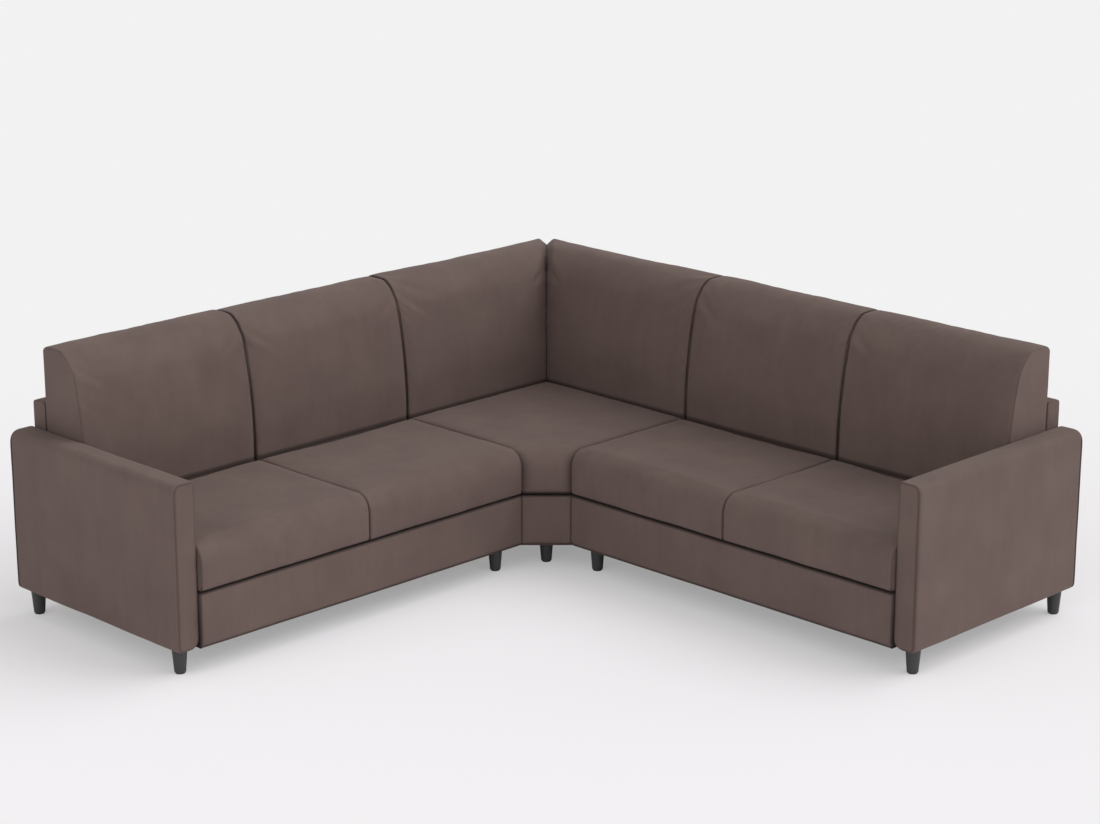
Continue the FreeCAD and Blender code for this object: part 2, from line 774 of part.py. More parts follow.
def write_parts():
    """One file per node, moved so that the origin is the centre of the sofa's footprint."""
    os.makedirs("parts", exist_ok=True)
    centre = Vector(-wing_length / 2.0, wing_length / 2.0, 0.0)
    for name, shapes in nodes.items():
        shape = shapes[0] if len(shapes) == 1 else Part.makeCompound(shapes)
        shape = shape.copy()
        shape.translate(centre)
        shape.exportStep("parts/" + name + ".step")
        print(name, len(shape.Solids), "solids", round(shape.Volume / 1.0e6, 3), "litres")
    print(len(nodes), "nodes; wing length", wing_length)


build_cushions()
build_bases()
build_arms()
build_low_backs()
build_legs()
build_fasteners()
write_parts()
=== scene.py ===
# %% [markdown]
# # A corner sofa in brown brushed microfibre
# This lesson dresses the sofa's imported model. Loose back and seat cushions, padded arms, low backs
# and front bands get sewn covers here, and the timber, webbing, cloths, legs and bolts keep their
# solids and get real finishes. The first step loads those solids.

# %% The imported model
import math

import bmesh
import bpy
import numpy as np
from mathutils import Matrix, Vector, noise


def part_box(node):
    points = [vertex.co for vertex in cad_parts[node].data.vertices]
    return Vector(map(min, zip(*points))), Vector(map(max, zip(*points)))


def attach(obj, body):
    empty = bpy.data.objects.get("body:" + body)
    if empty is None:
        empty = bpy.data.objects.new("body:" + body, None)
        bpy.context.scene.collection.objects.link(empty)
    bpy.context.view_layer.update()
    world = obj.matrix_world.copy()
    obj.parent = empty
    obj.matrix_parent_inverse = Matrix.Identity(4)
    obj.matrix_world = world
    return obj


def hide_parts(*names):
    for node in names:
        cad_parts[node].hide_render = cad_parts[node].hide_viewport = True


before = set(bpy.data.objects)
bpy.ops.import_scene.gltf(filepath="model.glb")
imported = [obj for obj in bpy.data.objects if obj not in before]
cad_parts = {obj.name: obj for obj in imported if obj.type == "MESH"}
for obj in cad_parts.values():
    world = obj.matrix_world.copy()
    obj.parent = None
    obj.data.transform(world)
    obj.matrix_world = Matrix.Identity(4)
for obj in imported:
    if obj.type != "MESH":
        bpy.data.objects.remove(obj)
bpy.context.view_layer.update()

scene = bpy.context.scene

# %% [markdown]
# The photograph looks down at the sofa from in front of its inside corner, with a long lens, so
# its upright edges stay nearly parallel. A camera on the diagonal, 16 degrees above the floor,
# gives that view. Its lens and distance were fitted to the sofa's corners.

# %% The camera
camera_data = bpy.data.cameras.new("studio_camera")
camera = bpy.data.objects.new("studio_camera", camera_data)
scene.collection.objects.link(camera)
camera.location = (5.846, -5.846, 3.082)
tilt_down = 16.29           # degrees below level
camera.rotation_euler = (math.radians(90.0 - tilt_down), 0.0, math.radians(45.0))
camera_data.sensor_width = 36.0
camera_data.lens = 90.17
camera_data.shift_x = 0.00328
camera_data.clip_end = 200.0
scene.camera = camera
print("camera", tuple(round(v, 3) for v in camera.location), "lens", camera_data.lens, "mm")

# %% [markdown]
# Every finish is made of nodes. One helper adds a node, sets its values and joins its links, and
# one turns the hex colours of a paint card into the linear light that the renderer counts in.

# %% Nodes and colours
def linear(hex_colour):
    """An sRGB hex colour as linear red, green, blue and full opacity."""
    parts = [int(hex_colour[k:k + 2], 16) / 255.0 for k in (1, 3, 5)]
    light = [c / 12.92 if c <= 0.04045 else ((c + 0.055) / 1.055) ** 2.4 for c in parts]
    return (*light, 1.0)


def add_node(tree, kind, settings=None, values=None, links=None):
    """One node, with settings by attribute, values by input name or number, and links to inputs."""
    node = tree.nodes.new(kind)
    for name, value in (settings or {}).items():
        setattr(node, name, value)
    for name, value in (values or {}).items():
        node.inputs[name].default_value = value
    for name, source in (links or {}).items():
        tree.links.new(source, node.inputs[name])
    return node


def blank_material(name):
    """A material with an empty node tree, and its output node."""
    material = bpy.data.materials.new(name)
    material.use_nodes = True
    material.node_tree.nodes.clear()
    output = add_node(material.node_tree, "ShaderNodeOutputMaterial")
    return material, material.node_tree, output


print("taupe in linear light:", [round(c, 3) for c in linear("#6A5A55")])

# %% [markdown]
# The studio is a pale floor under an even sky, with three broad soft lamps, as three softboxes
# would stand: a low one from the sofa's right, a low one from the front left, and a high one from
# behind, which is the strongest and lights the seats. The right one is a little stronger than the
# front one, so the left wing's backs are brighter than the right wing's, as in the photograph. Sky
# and lamps add up to about 1 on a surface that faces up, so a colour renders as it is written.
# Far from the sofa the floor fades to the backdrop's grey. Nearer, that grey is painted light: to the camera
# it makes up 35 per cent of the floor and lightens the sofa's shadow.

# %% The studio
backdrop_grey = linear("#F2F2F2")
sky_strength = 0.45
world = bpy.data.worlds.new("studio_sky")
scene.world = world
world.use_nodes = True
sky = world.node_tree
sky.nodes.clear()
rays = add_node(sky, "ShaderNodeLightPath")
seen = add_node(sky, "ShaderNodeMath", {"operation": "MAXIMUM"}, None,
                {0: rays.outputs["Is Camera Ray"], 1: rays.outputs["Is Transmission Ray"]})
light_sky = add_node(sky, "ShaderNodeBackground", None,
                     {"Color": linear("#FFFFFF"), "Strength": sky_strength})
seen_sky = add_node(sky, "ShaderNodeBackground", None, {"Color": backdrop_grey, "Strength": 1.0})
mixed_sky = add_node(sky, "ShaderNodeMixShader", None, None,
                     {0: seen.outputs[0], 1: light_sky.outputs[0], 2: seen_sky.outputs[0]})
add_node(sky, "ShaderNodeOutputWorld", None, None, {"Surface": mixed_sky.outputs[0]})

softbox_angle = 60.0        # degrees that each lamp takes up in the sky
softboxes = {
    "right_softbox": (0.77, (0.90, 0.25, 0.45)),
    "front_softbox": (0.66, (0.10, -0.90, 0.50)),
    "rear_softbox": (1.27, (0.30, 0.60, 0.75)),
}
on_the_top = sky_strength
for name, (energy, direction) in softboxes.items():
    lamp_data = bpy.data.lights.new(name, "SUN")
    lamp_data.energy = energy
    lamp_data.angle = math.radians(softbox_angle)
    lamp = bpy.data.objects.new(name, lamp_data)
    scene.collection.objects.link(lamp)
    lamp_from = Vector(direction).normalized()
    lamp.rotation_euler = lamp_from.to_track_quat("Z", "Y").to_euler()
    lamp.location = lamp_from * 5.0
    on_the_top += energy * lamp_from.z / math.pi
print("light on a surface that faces up:", round(on_the_top, 2))

floor_mesh = bpy.data.meshes.new("studio_floor")
floor_reach = 60.0          # metres to each side
fade_start = 2.0            # metres from the middle of the sofa
fade_end = 4.5
corners = [(x * floor_reach, y * floor_reach, 0.0) for x, y in ((-1, -1), (1, -1), (1, 1), (-1, 1))]
floor_mesh.from_pydata(corners, [], [(0, 1, 2, 3)])
floor = bpy.data.objects.new("studio_floor", floor_mesh)
scene.collection.objects.link(floor)
floor_finish, tree, output = blank_material("white_floor_painted_glow")
place = add_node(tree, "ShaderNodeTexCoord")
middle_out = add_node(tree, "ShaderNodeVectorMath", {"operation": "LENGTH"}, None,
                      {0: place.outputs["Object"]})
# painted light: near the sofa the camera sees a 35 per cent glow of backdrop grey on the floor, which
# lightens the sofa's shadow; far off it sees only that glow
fade = add_node(tree, "ShaderNodeMapRange", {"interpolation_type": "SMOOTHSTEP"},
                {"From Min": fade_start, "From Max": fade_end, "To Min": 0.35},
                {"Value": middle_out.outputs["Value"]})
rays = add_node(tree, "ShaderNodeLightPath")
glow_share = add_node(tree, "ShaderNodeMath", {"operation": "MULTIPLY"}, None,
                    {0: fade.outputs["Result"], 1: rays.outputs["Is Camera Ray"]})
paint = add_node(tree, "ShaderNodeBsdfDiffuse", None, {"Color": linear("#F9F6F9")})
backdrop_glow = add_node(tree, "ShaderNodeEmission", None, {"Color": backdrop_grey, "Strength": 1.0})
mixed = add_node(tree, "ShaderNodeMixShader", None, None,
                 {0: glow_share.outputs[0], 1: paint.outputs[0], 2: backdrop_glow.outputs[0]})
tree.links.new(mixed.outputs[0], output.inputs["Surface"])
floor_mesh.materials.append(floor_finish)
scene.view_settings.view_transform = "Standard"
print("floor", round(2.0 * floor_reach), "m across")

# %% [markdown]
# The covers are brushed polyester microfibre, the taupe brown cloth that looks like nubuck.
# Its nap is brushed up and then stroked by hands, so it has soft patches a hand wide, faint
# upright streaks, and a velvety glow where it is seen edge on. Threads finer than 0.3 mm don't
# show at this distance, so the nap is drawn as 1.5 mm grain. Along the seams, and where cushions touch, the
# colour is darkened with painted shade.

# %% Brushed microfibre
def brushed_microfibre():
    """Taupe nap with hand-wide patches, upright streaks, and painted shade at the seams."""
    patches_a_metre = 7.0       # each about 140 mm, a hand's width
    strokes_a_metre = 34.0      # each about 30 mm across, and as long as a patch
    grains_a_metre = 650.0      # each about 1.5 mm
    material, tree, output = blank_material("brushed_microfibre_taupe")
    place = add_node(tree, "ShaderNodeTexCoord")
    patches = add_node(tree, "ShaderNodeTexNoise", None,
                       {"Scale": patches_a_metre, "Detail": 3.0, "Roughness": 0.5},
                       {"Vector": place.outputs["Object"]})
    upright = add_node(tree, "ShaderNodeMapping", None,
                       {"Scale": (strokes_a_metre, strokes_a_metre, patches_a_metre)},
                       {"Vector": place.outputs["Object"]})
    streaks = add_node(tree, "ShaderNodeTexNoise", None,
                       {"Scale": 1.0, "Detail": 4.0, "Roughness": 0.55}, {"Vector": upright.outputs[0]})
    grain = add_node(tree, "ShaderNodeTexNoise", None,
                     {"Scale": grains_a_metre, "Detail": 2.0, "Roughness": 0.6},
                     {"Vector": place.outputs["Object"]})
    warmth = add_node(tree, "ShaderNodeMix", {"data_type": "RGBA"},
                      {"A": linear("#665552"), "B": linear("#65564F")}, {"Factor": patches.outputs["Fac"]})
    # painted shade: the mesh's seam_shade value darkens the colour, down to 6 per cent, at seams and where
    # cushions touch
    seam = add_node(tree, "ShaderNodeAttribute", {"attribute_name": "seam_shade"})
    tone = add_node(tree, "ShaderNodeMapRange", None,
                    {"From Min": 0.05, "From Max": 1.0, "To Min": 1.0, "To Max": 0.06},
                    {"Value": seam.outputs["Fac"]})
    for pattern, darkest, lightest in ((patches, 0.93, 1.07), (streaks, 0.96, 1.04), (grain, 0.92, 1.08)):
        share = add_node(tree, "ShaderNodeMapRange", None,
                         {"From Min": 0.3, "From Max": 0.7, "To Min": darkest, "To Max": lightest},
                         {"Value": pattern.outputs["Fac"]})
        tone = add_node(tree, "ShaderNodeMath", {"operation": "MULTIPLY"}, None,
                        {0: tone.outputs[0], 1: share.outputs[0]})
    colour = add_node(tree, "ShaderNodeVectorMath", {"operation": "SCALE"}, None,
                      {0: warmth.outputs["Result"], "Scale": tone.outputs[0]})
    raised = add_node(tree, "ShaderNodeBump", None, {"Strength": 0.35, "Distance": 0.0006},
                      {"Height": grain.outputs["Fac"]})
    surface = add_node(tree, "ShaderNodeBsdfPrincipled", None,
                       {"Roughness": 0.85, "IOR": 1.5, "Specular IOR Level": 0.25, "Sheen Weight": 0.18,
                        "Sheen Roughness": 0.45, "Sheen Tint": linear("#D8C8C0")},
                       {"Base Color": colour.outputs[0], "Normal": raised.outputs[0]})
    tree.links.new(surface.outputs[0], output.inputs["Surface"])
    return material


microfibre = brushed_microfibre()
print(microfibre.name, len(microfibre.node_tree.nodes), "nodes")

# %% [markdown]
# The model's pieces are drawn along the wing: how far along it, how deep from its rear, how high.
# The same three measures serve here, in millimetres, and the left wing is the right one mirrored
# about the sofa's diagonal, so each cover is drawn once.

# %% Along the wing
half_side = 1190.0          # mm from the middle of the sofa to its outer rear faces


def to_room(points, side="right"):
    """Points (along, deep, high) in millimetres as room points in metres."""
    points = np.asarray(points, float)
    x = (points[..., 0] - half_side) / 1000.0
    y = (half_side - points[..., 1]) / 1000.0
    if side == "left":
        x, y = -y, -x
    return np.stack([x, y, points[..., 2] / 1000.0], axis=-1)


def to_wing(points, side="right"):
    """Room points in metres as (along, deep, high) in millimetres."""
    points = np.asarray(points, float)
    x, y = points[..., 0], points[..., 1]
    if side == "left":
        x, y = -y, -x
    return np.stack([x * 1000.0 + half_side, half_side - y * 1000.0, points[..., 2] * 1000.0], axis=-1)


low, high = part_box("seat_cover_right_inner")
print("right inner seat, along the wing:", to_wing([low, high]).round(1).tolist())

# %% [markdown]
# A sewn cover is cut as flat panels and closed along its seams. Here a panel is a grid of points,
# with more lines near its seams, where the cloth turns sharply. Sewing joins the panels' equal
# edges, and marks every point where two different panels meet as a seam.

# %% Outlines and panels
def bowed(start, end, rise, steps=10):
    """Arc between two outline points that stands out by rise on the right-hand side of its run."""
    start, end = np.array(start, float), np.array(end, float)
    run = end - start
    chord = np.linalg.norm(run)
    along = run / chord
    outward = np.array([along[1], -along[0]])
    radius = (chord * chord / 4.0 + rise * rise) / (2.0 * rise)
    half_turn = math.asin(min(1.0, chord / 2.0 / radius))
    turns = np.linspace(-half_turn, half_turn, steps + 1)[:, None]
    middle = (start + end) / 2.0
    return middle + along * radius * np.sin(turns) + outward * (rise - radius + radius * np.cos(turns))


def rounded(start, end, radius, steps=10):
    """Quarter round of that radius between two outline points."""
    return bowed(start, end, radius * (1.0 - math.sqrt(0.5)), steps)


def spaced(points, marks):
    """The run of points again, at the given marks from 0 to 1 of its length."""
    points = np.asarray(points, float)
    steps = np.linalg.norm(np.diff(points, axis=0), axis=1)
    reach = np.concatenate([[0.0], np.cumsum(steps)]) / steps.sum()
    return np.stack([np.interp(marks, reach, points[:, k]) for k in range(points.shape[1])], axis=1)


def marks_for(length, pitch, edge=(3.5, 9.0, 17.0)):
    """Marks from 0 to 1 for a panel that long, close together near both of its ends."""
    near = [e for e in edge if e < length * 0.3]
    start = near[-1] if near else 0.0
    count = max(1, round((length - 2.0 * start) / pitch))
    inner = np.linspace(start, length - start, count + 1)
    if not near:
        return inner / length
    outer = [length - e for e in reversed(near)]
    return np.array([0.0] + near[:-1] + list(inner) + outer[1:] + [length]) / length


def filled(rear, front, bottom, top):
    """Grid of points between four sides that meet at their ends."""
    up = np.linspace(0.0, 1.0, len(rear))[:, None, None]
    out = np.linspace(0.0, 1.0, len(bottom))[None, :, None]
    across = (1.0 - out) * rear[:, None] + out * front[:, None]
    upward = (1.0 - up) * bottom[None] + up * top[None]
    low_edge = (1.0 - out) * bottom[0] + out * bottom[-1]
    high_edge = (1.0 - out) * top[0] + out * top[-1]
    return across + upward - (1.0 - up) * low_edge - up * high_edge


def drawn_out(sides, marks, place, panel_of):
    """Panels of a form whose four sides, at each mark along it, are placed in the wing."""
    names = ("rear", "front", "bottom", "top")
    rings = {name: [] for name in names}
    for mark in marks:
        section = dict(zip(names, sides(mark)))
        for name in names:
            rings[name].append(place(mark, section[name]))
    panels = [(panel_of[name], np.array(rings[name])) for name in names]
    for end, name in ((0, "start"), (-1, "end")):
        ring = [np.array(rings[side][end]) for side in names]
        panels.append((panel_of[name], filled(*ring)))
    return panels


print("marks on a 100 mm panel:", (marks_for(100.0, 12.0) * 100.0).round(1).tolist())

# %% Sewing
weld_reach = 0.0002         # metres, less than any panel's finest cell


def sew(name, panels):
    """Closed cover from numbered panels; its seam points are in the vertex group 'seam'."""
    cover = bmesh.new()
    number_of = cover.faces.layers.int.new("panel_number")
    for number, grid in panels:
        points = to_room(grid)
        rows = [[None if np.isnan(p[0]) else cover.verts.new(p) for p in row] for row in points]
        for low_row, high_row in zip(rows, rows[1:]):
            for k in range(len(low_row) - 1):
                corners = (low_row[k], low_row[k + 1], high_row[k + 1], high_row[k])
                corners = [corner for corner in corners if corner is not None]
                if len(corners) > 2:
                    cover.faces.new(corners)[number_of] = number
    bmesh.ops.remove_doubles(cover, verts=cover.verts, dist=weld_reach)
    bmesh.ops.recalc_face_normals(cover, faces=cover.faces)
    cover.verts.index_update()
    seam_points = [v.index for v in cover.verts
                   if len({face[number_of] for face in v.link_faces}) > 1]
    open_edges = sum(1 for edge in cover.edges if len(edge.link_faces) != 2)
    mesh = bpy.data.meshes.new(name)
    cover.to_mesh(mesh)
    cover.free()
    piece = bpy.data.objects.new(name, mesh)
    scene.collection.objects.link(piece)
    piece.vertex_groups.new(name="seam").add(seam_points, 1.0, "REPLACE")
    print(name, len(mesh.vertices), "points,", len(seam_points), "on seams,", open_edges, "open edges")
    return piece


# %% Reading and moving points
def points_of(mesh, value="co"):
    """Places of all the mesh's points, in metres, or their normals."""
    flat = np.zeros(len(mesh.vertices) * 3)
    mesh.vertices.foreach_get(value, flat)
    return flat.reshape(-1, 3)


def set_points(mesh, points):
    """Moves the mesh's points to new places."""
    mesh.vertices.foreach_set("co", np.ascontiguousarray(points, dtype=float).ravel())
    mesh.update()


def seam_weights(piece):
    """1 for each point on a seam, 0 for the others."""
    weights = np.zeros(len(piece.data.vertices))
    for vertex in piece.data.vertices:
        for group in vertex.groups:
            weights[vertex.index] = group.weight
    return weights


# %% [markdown]
# Filling a cover is a job for cloth simulation: the seams are held, air pressure stands in for the
# foam and wadding, and the cloth is cut a little larger than the seams, so it puckers along them.
# Foam keeps a real cushion from ballooning, so the distance that a point may move is eased off
# towards a limit.

# %% Filling a cover
def fill(piece, pressure=3.5, spare=0.003, limit=0.006, frames=20):
    """Blows the cover up from inside, with its seams held, and keeps the result in its mesh."""
    start = points_of(piece.data)
    cloth = piece.modifiers.new("filling", "CLOTH")
    cloth_values = {
        "quality": 5, "mass": 0.3, "tension_stiffness": 30.0, "compression_stiffness": 30.0,
        "shear_stiffness": 10.0, "bending_stiffness": 1.0, "shrink_min": -spare,
        "use_pressure": True, "uniform_pressure_force": pressure, "vertex_group_mass": "seam",
    }
    for name, value in cloth_values.items():
        setattr(cloth.settings, name, value)
    cloth.settings.effector_weights.gravity = 0.0
    cloth.collision_settings.use_collision = False
    cloth.point_cache.frame_end = frames
    for number in range(1, frames + 1):
        scene.frame_set(number)
    shown = piece.evaluated_get(bpy.context.evaluated_depsgraph_get())
    moved = points_of(shown.data) - start
    piece.modifiers.remove(cloth)
    scene.frame_set(1)
    reach = np.linalg.norm(moved, axis=1, keepdims=True)
    eased = limit * np.tanh(reach / limit)
    set_points(piece.data, start + moved * eased / np.maximum(reach, 1e-9))
    print(piece.name, "filled: moved up to", round(reach.max() * 1000, 1), "mm, kept",
          round(eased.max() * 1000, 1), "mm")


# %% [markdown]
# After filling, each cover gets the small unevenness of hand-filled upholstery, is pressed flat
# against what it leans on, and its seams are pulled in to a fine valley.

# %% Settling, pressing and finishing
ripple_share = 0.36         # size of the small ripples, beside the waves they ride on
beside_seam = 0.4           # how far the points next to a seam follow it
mitre_reach = 7.0           # mm from the diagonal within which a mitred end is brought back to it


def settle(piece, seed, height=0.0012, size=0.16):
    """Moves the cloth in and out along gentle waves; the seams move half as much."""
    points = points_of(piece.data)
    normals = points_of(piece.data, "normal")
    held = seam_weights(piece)
    shift = Vector((seed * 3.7, seed * 1.9, seed * 5.3))
    waves = np.array([noise.noise(Vector(p) / size + shift) for p in points])
    ripples = np.array([noise.noise(Vector(p) / (size * ripple_share) - shift) for p in points])
    out = (waves + 0.35 * ripples) * height * 2.0 * (1.0 - 0.5 * held)
    set_points(piece.data, points + normals * out[:, None])


def press(piece, side, rests):
    """Keeps the cover within its rests, each a direction in the wing and how far it may go."""
    points = to_wing(points_of(piece.data), side)
    for direction, reach in rests:
        direction = np.array(direction, float)
        direction /= np.linalg.norm(direction)
        over = np.maximum(points @ direction - reach, 0.0)
        points -= over[:, None] * direction
    set_points(piece.data, to_room(points, side))


def pull_seams(piece, depth, shade=0.35, side="right", strong=None, extra=None):
    """Draws the seams in with the cloth beside them, and writes their shade for the material.

    The seams get that shade, or more where strong() says so, and extra() shades the cloth itself.
    """
    held = seam_weights(piece)
    ends = np.zeros(len(piece.data.edges) * 2, int)
    piece.data.edges.foreach_get("vertices", ends)
    ends = ends.reshape(-1, 2)
    drawn = held.copy()
    np.maximum.at(drawn, ends[:, 0], beside_seam * held[ends[:, 1]])
    np.maximum.at(drawn, ends[:, 1], beside_seam * held[ends[:, 0]])
    points = points_of(piece.data)
    in_wing = to_wing(points, side)
    tone = drawn * shade
    if strong is not None:
        tone = np.maximum(tone, drawn * strong(in_wing))
    if extra is not None:
        tone = np.maximum(tone, extra(in_wing))
    set_points(piece.data, points - points_of(piece.data, "normal") * (drawn * depth)[:, None])
    # the painted shade that darkens the microfibre's colour
    layer = piece.data.attributes.new("seam_shade", "FLOAT", "POINT")
    layer.data.foreach_set("value", tone)


def close_mitre(piece, side, space):
    """Brings the mitred end back to the sofa's diagonal, where the two corner cushions press."""
    points = to_wing(points_of(piece.data), side)
    off = points[:, 0] - points[:, 1] - space
    shift = np.where(off < mitre_reach, off / 2.0, 0.0)
    points[:, 0] -= shift
    points[:, 1] += shift
    set_points(piece.data, to_room(points, side))


def finish_cover(piece, body, nodes):
    """Smooths and clothes a cover, puts it on its body, and hides the solids that it replaces."""
    piece.data.polygons.foreach_set("use_smooth", [True] * len(piece.data.polygons))
    smoother = piece.modifiers.new("smooth_cloth", "SUBSURF")
    smoother.levels = 1
    smoother.render_levels = 1
    piece.data.materials.clear()
    piece.data.materials.append(microfibre)
    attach(piece, body)
    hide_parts(*nodes)


def left_twin(piece, name):
    """The same cover for the left wing."""
    twin = piece.copy()
    twin.data = piece.data.copy()
    twin.name = name
    twin.data.name = name
    scene.collection.objects.link(twin)
    set_points(twin.data, to_room(to_wing(points_of(piece.data)), "left"))
    twin.data.flip_normals()
    return twin


# %% [markdown]
# ## The loose back cushions
# Each is a foam wedge in a boxed cover: upright below, leaning back above, and rolled over at the
# top. One long panel runs up the front and over the top, another down the rear, and two end
# panels are cut to the cushion's outline. The two that meet in the sofa's corner are cut on the
# mitre, and their tops fall away into a notch there.

# %% Back cushion outline
cushion_base = 260.8        # on the deck cloth
back_rear = 78.0            # against the low back
back_front = 286.0
back_bend = 430.0           # upright below this height, leaning back above
back_top = 880.0
shoulder_depth = 246.0      # where the leaning front turns into the rolled top edge
shoulder_drop = 92.0        # and how far below the top that is
brow_depth = 176.0          # where the rolled top edge reaches the top
nape_roll = 18.0            # of the rear top edge
lean_bow = 10.0             # the leaning front stands out by this much,
shoulder_bow = 13.0         # the rolled top edge by this much,
nape_bow = 5.3              # and the rear top edge by this much
notch_drop = 31.0           # how far the tops fall at the mitre
notch_share = 0.042         # over this share of the cushion's length
end_roll = 5.0              # how far the front draws back at the cushion's ends
end_reach = 14.0            # over this length


def back_sides(drop):
    """Rear, front, bottom and top of the cushion's outline, as (deep, high) points."""
    top = back_top - drop
    heel = (back_rear, cushion_base)
    toe = (back_front, cushion_base)
    bend = (back_front, back_bend)
    shoulder = (shoulder_depth, top - shoulder_drop)
    brow = (brow_depth, top)
    nape = (back_rear + nape_roll, top)
    neck = (back_rear, top - nape_roll)
    front = np.concatenate([[toe], bowed(bend, shoulder, lean_bow)])
    over = [bowed(shoulder, brow, shoulder_bow), [nape], bowed(nape, neck, nape_bow)]
    return [heel, neck], front, [heel, toe], np.concatenate(over)[::-1]


# %% Back cushion covers
cloth_pitch = 12.5          # mm between the points of a cushion's cloth
boxed_panels = {"front": 0, "top": 0, "rear": 1, "bottom": 2, "start": 3, "end": 4}
upright_marks = marks_for(600.0, 10.0)
depth_marks = marks_for(back_front - back_rear, cloth_pitch)


def back_cover(name, start, end, mitred):
    """Sewn cover of one back cushion; a mitred one starts on the diagonal."""
    along_marks = marks_for(end - start, cloth_pitch)

    def sides(mark):
        drop = notch_drop * max(0.0, 1.0 - mark / notch_share) if mitred else 0.0
        rear, front, bottom, top = back_sides(drop)
        return (spaced(rear, upright_marks), spaced(front, upright_marks),
                spaced(bottom, depth_marks), spaced(top, depth_marks))

    def place(mark, points):
        skew = (1.0 - mark) if mitred else 0.0
        from_end = min(mark, 1.0 - mark) * (end - start)
        eased = end_roll * max(0.0, 1.0 - from_end / end_reach) ** 2
        deep = back_rear + (points[:, 0] - back_rear) * (1.0 - eased / (back_front - back_rear))
        along = start + mark * (end - start) + skew * deep
        return np.stack([along, deep, points[:, 1]], axis=1)

    return sew(name, drawn_out(sides, along_marks, place, boxed_panels))


# %% [markdown]
# Where two cushions touch, no light gets in, and the photograph shows a thin dark line. Stray light
# would fill so thin a gap in a render, so the cloth there gets its shade from a value in the mesh.

# %% Shade where cushions touch
seat_edge = 411.0           # height of the seats' edges, where they meet the backs
crease_half = 8.0           # half the height of the dark line there
front_from = 240.0          # deeper points than this are on a back cushion's front
joint_width = 7.0           # of the shaded cloth beside a neighbour


def crease_shade(points):
    """Shade across the back cushions' fronts, where the seats' rear edges touch them."""
    line = np.clip(1.25 - np.abs(points[:, 2] - seat_edge) / crease_half, 0.0, 1.0)
    return np.where(points[:, 1] > front_from, line, 0.0)


def joint_shade(start, end, mitred, last):
    """A test for the points beside a neighbour, for the cushion between start and end."""
    def beside(points):
        from_start = (points[:, 0] - points[:, 1]) / math.sqrt(2.0) if mitred else points[:, 0] - start
        from_end = np.inf if last else end - points[:, 0]
        return np.where(np.minimum(from_start, from_end) < joint_width, 1.0, 0.0)
    return beside


# %% Filling and placing the back cushions
corner_width = 955.0
seat_split = 1625.0
arm_inner = 2295.0
gap = 1.0                   # half the space between neighbours
mitre_gap = 0.02            # the two corner cushions press on each other
back_stop = 287.5           # their fronts stop short of the seats, which begin at 289 mm
back_stretches = {
    "corner": (mitre_gap, corner_width - gap, True),
    "inner": (corner_width + gap, seat_split - gap, False),
    "outer": (seat_split + gap, arm_inner - gap, False),
}
for seed, (where, (start, end, mitred)) in enumerate(back_stretches.items(), 1):
    right = back_cover("back_cushion_right_" + where, start, end, mitred)
    fill(right)
    left = left_twin(right, "back_cushion_left_" + where)
    rests = [((1, 0, 0), end), ((0, -1, 0), -back_rear), ((0, 1, 0), back_stop),
             ((0, 0, -1), -cushion_base)]
    if mitred:
        rests.append(((-1, 1, 0), -mitre_gap / math.sqrt(2.0)))
    else:
        rests.append(((-1, 0, 0), -start))
    for side, piece, number in (("right", right, seed), ("left", left, seed + 10)):
        settle(piece, number)
        pull_seams(piece, 0.0035, 0.3, side, joint_shade(start, end, mitred, where == "outer"), crease_shade)
        press(piece, side, rests)
        if mitred:
            close_mitre(piece, side, mitre_gap)
        name = side + "_" + where
        finish_cover(piece, "back_cushion_" + name, ["back_cover_" + name, "back_foam_" + name])

# %% [markdown]
# ## The loose seat cushions
# A seat cushion is a flat foam block whose top and front are one panel over a 50 mm roll. Its
# top crowns a little, and its lower front edge waves where the cover is a touch long.

# %% Seat cushion outline
seat_rear = 289.0
seat_nose = 842.0
roll = 50.0                 # of the top front edge
rear_roll = 20.0            # of the rear top edge
toe_back = 5.0              # the lower front edge is drawn back by this much
toe_rise = 8.0              # over this height
cut_line = 1795.5           # along plus deep, at the front of the corner seat


def seat_sides():
    """Rear, front, bottom and top of the seat's outline, as (deep, high) points."""
    toe = (seat_nose - toe_back, cushion_base)
    ankle = (seat_nose, cushion_base + toe_rise)
    knee = (seat_nose, seat_edge - roll)
    brow = (seat_nose - roll, seat_edge)
    heel = (seat_rear, cushion_base)
    neck = (seat_rear, seat_edge - rear_roll)
    nape = (seat_rear + rear_roll, seat_edge)
    front = np.concatenate([[toe, ankle], rounded(knee, brow, roll)])
    top = np.concatenate([rounded(nape, neck, rear_roll)[::-1], [brow]])
    return [heel, neck], front, [heel, toe], top


# %% Seat cushion covers
seat_depth_marks = marks_for(seat_nose - seat_rear, cloth_pitch)
seat_upright_marks = marks_for(180.0, 11.0)
lower_edge = 272.0          # points below this are on the seats' lower edges
front_strip = 40.0          # and on their fronts, when within this of the corner seat's cut


def seat_cover(name, start, end):
    """Sewn cover of one straight seat cushion."""
    rear, front, bottom, top = seat_sides()
    section = (spaced(rear, seat_upright_marks), spaced(front, seat_upright_marks),
               spaced(bottom, seat_depth_marks), spaced(top, seat_depth_marks))

    def place(mark, points):
        along = np.full(len(points), start + mark * (end - start))
        return np.stack([along, points[:, 0], points[:, 1]], axis=1)

    marks = marks_for(end - start, cloth_pitch)
    return sew(name, drawn_out(lambda mark: section, marks, place, boxed_panels))


def seat_seam_shade(points):
    """Full shade on the seats' lower front edge, over the bands."""
    in_front = points[:, 0] + points[:, 1] > cut_line - front_strip
    return np.where((points[:, 2] < lower_edge) & in_front, 1.0, 0.0)


